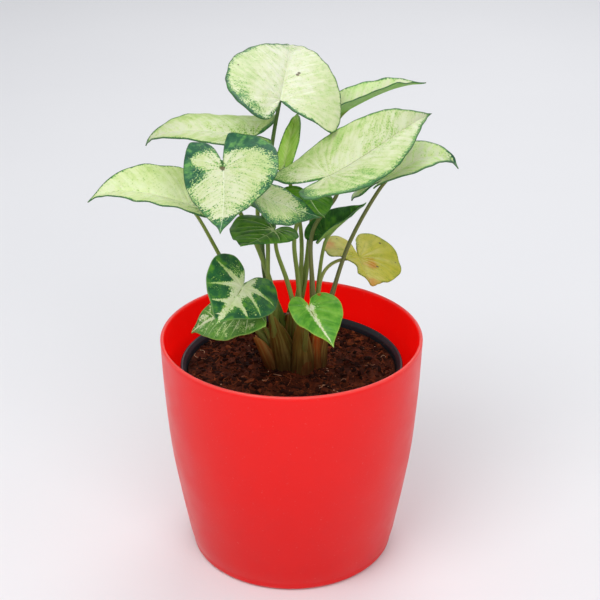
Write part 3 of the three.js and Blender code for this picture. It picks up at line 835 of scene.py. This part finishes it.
def bladeMaterial(name, leaf, underside):
    material, tree, shader = newMaterial(name + ("Underside" if underside else "Upper"),
                                         Specular_IOR_Level=0.28, Subsurface_Weight=0.15,
                                         Subsurface_Radius=(0.6, 1.0, 0.25), Subsurface_Scale=0.0012)
    plane = field(tree, "leafPlane")
    x, y, _ = split(tree, plane)
    phase, run, spacing = split(tree, field(tree, "veinField"))
    share, side, inward = split(tree, field(tree, "edgeField"))
    seed = leaf["seed"] * 3.7
    shifted = tree.nodes.new("ShaderNodeVectorMath")
    feed(tree, shifted.inputs[0], plane)
    shifted.inputs[1].default_value = (seed, seed * 0.3, seed)
    spot = shifted.outputs[0]
    ribbon = combine(tree, times(tree, phase, 1.9), times(tree, run, 0.5), seed)
    speck, blot = grain(tree, spot, 13, 3, 0.65), grain(tree, spot, 2.3, 3, 0.55)
    streak = grain(tree, ribbon, 1.7, 4, 0.65)

    veinGap = times(tree, calc(tree, "PINGPONG", phase, 0.5), spacing)
    vein = times(tree, ease(tree, veinGap, 0.012, 0.05, 1.0, 0.0), ease(tree, run, 0.1, 0.7))
    vein = times(tree, vein, ease(tree, addUp(tree, share, times(tree, blot, 0.8)), 1.4, 0.5))
    along = calc(tree, "DIVIDE", x, leaf["length"] / 10, clamp=True)
    aside = calc(tree, "ABSOLUTE", y)
    midWidth = calc(tree, "MULTIPLY_ADD", along, -0.08 * leaf["midrib"], 0.1 * leaf["midrib"])
    midrib = ease(tree, calc(tree, "DIVIDE", aside, midWidth), 0.4, 1.0, 1.0, 0.0)
    midrib = times(tree, midrib, ease(tree, x, -0.25, 0.0))

    left, right = leaf["margin"]
    margin = calc(tree, "MULTIPLY_ADD", side, (left - right) / 10, right / 10)
    edge = ease(tree, calc(tree, "DIVIDE", inward, margin), 0.0, 1.0, leaf["marginGreen"], 0.0)
    edge = times(tree, edge, ease(tree, share, 0.25, 0.6))
    greens = [edge, leaf["ground"]]
    for px, py, radius, strength in leaf["patches"]:
        greens.append(times(tree, nearTo(tree, plane, px, py, radius), strength))
    if leaf["band"]:
        wide = calc(tree, "MULTIPLY_ADD", along, -0.085 * leaf["band"], 0.1 * leaf["band"])
        band = ease(tree, calc(tree, "DIVIDE", aside, wide), 0.3, 1.6, -1.0, 0.0)
        greens.append(times(tree, band, ease(tree, x, -0.5, 0.1)))
    if leaf["veinBand"]:
        wide = calc(tree, "MULTIPLY_ADD", share, -0.09 * leaf["veinBand"], 0.1 * leaf["veinBand"])
        greens.append(ease(tree, calc(tree, "DIVIDE", veinGap, wide), 0.3, 1.6, -0.9, 0.0))
    for cloud, amount in ((speck, leaf["speck"]), (streak, leaf["streak"]), (blot, leaf["blot"])):
        greens.append(calc(tree, "MULTIPLY_ADD", cloud, amount, -amount / 2))
    green = addUp(tree, *greens)

    centre = ease(tree, aside, 0.0, 0.8 * leaf["half"][0] / 10, -0.1, 0.08)
    cloud = addUp(tree, times(tree, streak, 0.6), times(tree, blot, 0.4), centre)
    color = toneRamp(tree, cloud, [(0.36, leaf["cream"]), (0.52, leaf["pale"]),
                                   (0.74, leaf["light"])])
    color = blendTone(tree, ease(tree, green, 0.06, 0.36, 0.0, 0.7), color, leaf["light"])
    color = blendTone(tree, ease(tree, green, 0.3, 0.44), color, leaf["mid"])
    shade = addUp(tree, times(tree, streak, 0.4), times(tree, blot, 0.6))
    darkest = toneRamp(tree, shade, [(0.4, leaf["deep"]), (0.5, leaf["dark"]),
                                     (0.64, leaf["mid"])])
    color = blendTone(tree, ease(tree, green, 0.42, 0.56), color, darkest)
    color = blendTone(tree, times(tree, vein, leaf["veinShow"]), color, leaf["veinTone"])
    color = blendTone(tree, times(tree, midrib, 0.8), color, leaf["midribTone"])
    for px, py, radius, stain in leaf["marks"]:
        close = nearTo(tree, plane, px, py, radius, 0.7 if radius < 1.5 else 0.1)
        ragged = times(tree, close, calc(tree, "MULTIPLY_ADD", blot, 1.6, -0.1))
        color = blendTone(tree, ease(tree, ragged, 0.15, 0.7, 0.0, 0.85), color, stain)
    ragged = calc(tree, "MULTIPLY_ADD", speck, -0.08, inward)
    rim = ease(tree, ragged, -0.03, 0.02, leaf["edgeDark"], 0.0)
    color = blendTone(tree, rim, color, leaf["edge"])
    if underside:
        color = blendTone(tree, leaf["underShare"], color, leaf["underTone"])
    cells = grain(tree, spot, 60, 2)
    height = addUp(tree, times(tree, cells, 0.25), times(tree, vein, -0.6),
                   sway(tree, ribbon, 6, 0.3, 2))
    roughness = ease(tree, blot, 0.3, 0.7, 0.5 if underside else 0.36, 0.6 if underside else 0.48)
    finishMaterial(tree, shader, color, roughness, height, 0.12, 0.6)
    return material


# Inside a bite, the margin falls back to the side of it that is nearer the stalk
def bitten(point, bites):
    for x, y, radius in bites:
        toBite = Vector((x, y))
        if (point - toBite).length < radius:
            line = point.normalized()
            middle = toBite.dot(line)
            point = line * (middle - math.sqrt(max(0.0, middle ** 2 - toBite.length_squared + radius ** 2)))
    return point


def addBlade(name, leaf, form):
    columns, rings = form["columns"], form["rings"]
    margin = halfMargin(leaf, 0, columns // 2) + halfMargin(leaf, 1, columns // 2)[::-1][1:]
    margin = [bitten(point, leaf["bites"]) * (1 - form["unevenness"] * (0.5 + noise.noise(
        Vector((point.x / 6, point.y / 6, leaf["seed"]))))) for point in margin]
    edge = kdtree.KDTree(4 * columns)
    for i in range(4 * columns):
        edge.insert((*margin[i // 4].lerp(margin[i // 4 + 1], i % 4 / 4), 0), i)
    edge.balance()
    bm = bmesh.new()
    bmesh.ops.create_grid(bm, x_segments=columns, y_segments=rings, size=0.5)
    planeLayer = bm.verts.layers.float_vector.new("leafPlane")
    veinLayer = bm.verts.layers.float_vector.new("veinField")
    edgeLayer = bm.verts.layers.float_vector.new("edgeField")
    for vert in bm.verts:
        share = vert.co.y + 0.5
        flat = margin[round((vert.co.x + 0.5) * columns)] * share
        veins = veinField(leaf, form, flat.x, flat.y)
        relief = bladeRelief(leaf, form, flat.x, flat.y, share, veins)
        vert.co = bentPoint(leaf, flat.x, flat.y, relief) * mm
        vert[planeLayer] = (flat.x / 10, flat.y / 10, 0)
        vert[veinLayer] = (veins[0], veins[1] / 10, veins[2] / 10)
        vert[edgeLayer] = (share, 1 if flat.y > 0 else 0, edge.find((*flat, 0))[2] / 10)
    mergeDoubles(bm)
    along = bentPoint(leaf, 1, 0) - bentPoint(leaf, 0, 0)
    upward = along.cross(bentPoint(leaf, 0, 1) - bentPoint(leaf, 0, -1))
    if sum((face.normal * face.calc_area() for face in bm.faces), Vector()).dot(upward) < 0:
        bmesh.ops.reverse_faces(bm, faces=bm.faces[:])
    skins = [bladeMaterial(name, leaf, underside) for underside in (False, True)]
    piece = addMesh("blade_" + name, bm, skins)
    body = piece.modifiers.new("thickness", "SOLIDIFY")
    body.thickness = form["thickness"] * mm
    body.offset = 0
    body.material_offset = 1
    body.use_even_offset = True
    dress(piece, leaf["slot"], "leaf_" + name)


# Stalks and stems

stalkForm = {
    "topRadius": 0.85,
    "middleRadius": 1.15,
    "under": 0.9,  # how far below the blade its middle joins
    "run": 8,  # how far it runs on under the blade, as the midrib
    "sheathRadius": 2.7,
    "sheathEnd": 0.45,  # how far up the stalk its sheath reaches
    "sides": 20,
    "steps": 64,
    "start": 96.0,
    "parting": 108.0,
    "stem": [(0, 84), (4.0, 84), (4.3, 92), (4.3, 101), (3.7, 111), (2.2, 124), (0, 125)],
    "sheathTone": (102, 76, 24),
    "stemTone": (140, 78, 30),
    "stemSides": 28,
    "stemSteps": 30,
    "sheathSides": 36,
    "sheathSteps": 30,
    "sheathWall": 0.35,
    "sheathEdge": (186, 146, 70),
}

# Old leaf bases round the crown: where each runs, its half width there, the way it faces and its tone
sheaths = {
    "left": [
        {"way": [(-8.5, -2, 97), (-12.5, -4, 108), (-17.5, -4.5, 120)], "width": (4.4, 3.9, 2.4),
         "facing": (-0.5, -1), "tone": (168, 100, 36)},
        {"way": [(-3.6, -2.4, 96), (-4.6, -3.6, 108), (-7, -5, 121), (-9.4, -9, 133)],
         "width": (6.2, 6, 4.4, 1.6), "facing": (-0.15, -1), "tone": (98, 84, 26)},
        {"way": [(-10.5, 1, 97), (-13, 1.5, 110), (-17, 1, 124)], "width": (4.2, 3.6, 1.6),
         "facing": (-1, 0.5), "tone": (128, 104, 44)},
    ],
    "back": [
        {"way": [(-1, 9, 97), (-1, 10, 112), (0, 11, 128)], "width": (5.2, 4.4, 2), "facing": (0, 1),
         "tone": (116, 108, 46)},
        {"way": [(0, 3, 97), (0.6, 3, 112), (0.4, 3, 130)], "width": (5.6, 4.6, 2.2), "facing": (0, -1),
         "tone": (104, 100, 40)},
    ],
    "front": [
        {"way": [(4.8, -6.4, 97), (5.2, -7.8, 109), (4.8, -9.6, 121), (4.4, -12, 132)],
         "width": (5.8, 5.2, 3.7, 1.6), "facing": (-0.1, -1), "tone": (106, 92, 34)},
    ],
    "right": [
        {"way": [(11.2, -2, 96), (11, -3, 107), (11.8, -3, 118), (13, -2, 128)],
         "width": (4.4, 3.6, 2.4, 1.2), "facing": (0.1, -1), "tone": (198, 92, 20)},
        {"way": [(14.5, 1.5, 97), (15.6, 2, 112), (17.5, 3, 128)], "width": (4.4, 3.6, 1.6),
         "facing": (1, 0.3), "tone": (134, 108, 48)},
    ],
}


# A smooth curve through the keys, as even steps along its length
def stalkPath(keys, steps):
    keys = [Vector(k) for k in keys]
    keys = [2 * keys[0] - keys[1], *keys, 2 * keys[-1] - keys[-2]]
    dense = []
    for p0, p1, p2, p3 in zip(keys, keys[1:], keys[2:], keys[3:]):
        d0, d1, d2 = ((b - a).length ** 0.5 for a, b in ((p0, p1), (p1, p2), (p2, p3)))
        v1 = ((p1 - p0) / d0 - (p2 - p0) / (d0 + d1) + (p2 - p1) / d1) * d1
        v2 = ((p2 - p1) / d1 - (p3 - p1) / (d1 + d2) + (p3 - p2) / d2) * d1
        for i in range(30):
            t = i / 30
            dense.append(p1 + v1 * t + (3 * (p2 - p1) - 2 * v1 - v2) * t ** 2
                         + (2 * (p1 - p2) + v1 + v2) * t ** 3)
    dense.append(keys[-2])
    lengths = [0.0]
    for a, b in zip(dense, dense[1:]):
        lengths.append(lengths[-1] + (b - a).length)
    points, k = [], 0
    for i in range(steps + 1):
        want = lengths[-1] * i / steps
        while k < len(dense) - 2 and lengths[k + 1] < want:
            k += 1
        part = (want - lengths[k]) / max(lengths[k + 1] - lengths[k], 1e-9)
        points.append(dense[k].lerp(dense[k + 1], part))
    for _ in range(6):  # takes out what is left of the corners
        inner = [(a + 2 * b + c) / 4 for a, b, c in zip(points, points[1:], points[2:])]
        points = [points[0], *inner, points[-1]]
    return points, lengths[-1]


# At step k of a path: the way along it, the way across it towards facing, and the way across both
def acrossPath(points, k, facing):
    tangent = (points[min(k + 1, len(points) - 1)] - points[max(k - 1, 0)]).normalized()
    face = (facing - tangent * facing.dot(tangent)).normalized()
    return tangent, face, tangent.cross(face)


def addStalk(bm, layers, foot, leaf, form):
    way = [Vector(p) for p in leaf["stalk"]]
    seat, run, steps = Vector(leaf["seat"]), form["run"], form["steps"]
    along = bentPoint(leaf, 1, 0) - seat
    normal = along.cross(bentPoint(leaf, 0, 1) - bentPoint(leaf, 0, -1)).normalized()
    under = -form["under"] * normal
    keys = [Vector((*foot, form["start"])), Vector((*foot, form["parting"])).lerp(way[0], 0.12), *way,
            seat + under, bentPoint(leaf, 3.5, 0) + under * 0.7, bentPoint(leaf, run, 0) + under * 0.35]
    points, length = stalkPath(keys, steps)
    inward = Vector((foot[0] - leaf["seat"][0], foot[1] - leaf["seat"][1], 0)).normalized()
    low, middle, top = form["sheathRadius"], form["middleRadius"], form["topRadius"]
    end = form["sheathEnd"]
    free = 1 - run / length  # where the stalk meets the blade
    for vert, around, share in rolledTube(bm, form["sides"], steps):
        k = round(share * steps)
        angle = around - math.pi
        if share < end:
            radius = low + (middle - low) * share / end
        elif share <= free:
            radius = middle + (top - middle) * ((share - end) / (free - end))
        else:
            radius = top * (1 - 0.75 * (share - free) / (1 - free))
        sheath = max(0.0, min(1.0, (end - share) / 0.2))
        wing = 0.2 * sheath * math.exp(-(((abs(angle) - 0.8) / 0.25) ** 2))
        radius *= 1 - (0.16 + 0.4 * sheath) * math.exp(-((angle / 0.45) ** 2)) + wing
        radius *= leaf["stalkWidth"] * (1 + 0.04 * math.sin(7 * share + leaf["seed"]))
        if k in (0, steps):
            radius = 0
        _, face, other = acrossPath(points, k, inward)
        vert.co = (points[k] + (face * math.cos(angle) + other * math.sin(angle)) * radius) * mm
        vert[layers[0]] = (math.cos(angle), math.sin(angle), share * length / 10)
        vert[layers[1]] = tone(*leaf["stalkTone"])[:3]


# A strip of old leaf base, curled round its way and closed along both edges
def addSheath(bm, layers, sheath, form):
    steps, seed = form["sheathSteps"], sheath["way"][0][0]
    points = softCurve(sheath["way"], steps)
    widths = softCurve([(w, 0) for w in sheath["width"]], steps)
    facing = Vector((*sheath["facing"], 0)).normalized()
    toneHere, toneEdge = (Vector(tone(*rgb)[:3]) for rgb in (sheath["tone"], form["sheathEdge"]))
    for vert, around, share in rolledTube(bm, form["sheathSides"], steps):
        k = round(share * steps)
        outside = around < math.pi
        across = around / math.pi * 2 - 1 if outside else 3 - around / math.pi * 2
        wrap = 1.75 - 0.9 * share ** 3
        angle = wrap * across
        flute = noise.noise(Vector((angle * 2.2, share * 0.8, seed)))
        radius = widths[k].x * (1 + 0.11 * flute * (1 - share ** 2) + 0.1 * across ** 6)
        wall = form["sheathWall"] * (0 if k in (0, steps) else 1 - 0.7 * abs(across) ** 3)
        radius += wall / 2 if outside else -wall / 2
        tangent, face, other = acrossPath(points, k, facing)
        ragged = noise.noise(Vector((across * 3, seed, 0))) * 3 * share ** 4
        at = points[k] + face * (math.cos(angle) - 0.35) * radius + other * math.sin(angle) * radius
        vert.co = (at + tangent * (ragged - 2.5 * abs(across) ** 2 * share)) * mm
        vert[layers[0]] = (math.cos(angle), math.sin(angle), at.z / 10 + seed)
        vert[layers[1]] = toneHere.lerp(toneEdge, max(across ** 10, share ** 6) * 0.7)


def stalkMaterial(form):
    material, tree, shader = newMaterial("stalkSkin", Specular_IOR_Level=0.28, Subsurface_Weight=0.1,
                                         Subsurface_Radius=(0.6, 1.0, 0.25), Subsurface_Scale=0.001)
    place = objectPlace(tree)
    acrossX, acrossY, reached = split(tree, field(tree, "stalkPlace"))
    thread = combine(tree, acrossX, acrossY, times(tree, reached, 0.12))
    streak = grain(tree, thread, 5, 4, 0.6)
    height = split(tree, place)[2]
    upward = ease(tree, addUp(tree, height, sway(tree, place, 60, 0.006)), 0.1, 0.132)
    base = toneRamp(tree, streak, [(0.34, (66, 42, 14)), (0.5, form["sheathTone"]), (0.66, (150, 86, 28))])
    low = ease(tree, upward, 0.0, 1.0, 0.5, 0.0)
    color = blendTone(tree, low, field(tree, "stalkTone"), base)
    color = blendTone(tree, ease(tree, streak, 0.45, 0.62, 0.0, 0.3), color, (158, 172, 92))
    mottle = times(tree, ease(tree, grain(tree, place, 160, 4), 0.5, 0.7, 0.0, 0.6), low)
    color = blendTone(tree, mottle, color, (52, 34, 16))
    # painted shade: the stalks and sheaths darken towards the soil, where the crown shades itself
    soilShade = ease(tree, addUp(tree, height, sway(tree, place, 90, 0.005)), 0.1, 0.122, 0.8, 0.0)
    color = blendTone(tree, soilShade, color, (40, 22, 10))
    finishMaterial(tree, shader, color, ease(tree, streak, 0.3, 0.7, 0.36, 0.52), streak, 0.25, 0.8)
    return material


stalkSkin = stalkMaterial(stalkForm)


def addShoot(name, foot, ownLeaves, form):
    bm = bmesh.new()
    layers = [bm.verts.layers.float_vector.new(key) for key in ("stalkPlace", "stalkTone")]
    for leaf in ownLeaves.values():
        addStalk(bm, layers, foot, leaf, form)
    steps = form["stemSteps"]
    profile = softCurve(form["stem"], steps)
    x, y = foot
    for vert, around, share in rolledTube(bm, form["stemSides"], steps):
        radius, height = profile[round(share * steps)]
        bumps = noise.noise(Vector((math.cos(around) * 1.5, math.sin(around) * 1.5, height / 4 + x)))
        radius = max(0.0, radius * (1 + 0.09 * bumps))
        vert.co = Vector((x + radius * math.cos(around), y + radius * math.sin(around), height)) * mm
        vert[layers[0]] = (math.cos(around), math.sin(around), (height - form["stem"][0][1]) / 10)
        vert[layers[1]] = tone(*form["stemTone"])[:3]
    for sheath in sheaths[name]:
        addSheath(bm, layers, sheath, form)
    mergeDoubles(bm)
    piece = addMesh("stalks_" + name, bm, [stalkSkin])
    dress(piece, "stalk", "shoot_" + name)


for shootName, shootFoot in shootFeet.items():
    ownLeaves = {leafName: {**commonLeaf, **leaf.get("looks", {}), **leaf}
                 for leafName, leaf in leaves.items() if leaf["shoot"] == shootName}
    addShoot(shootName, shootFoot, ownLeaves, stalkForm)
    for leafName, leaf in ownLeaves.items():
        addBlade(leafName, leaf, bladeForm)
    print("shoot made:", shootName)
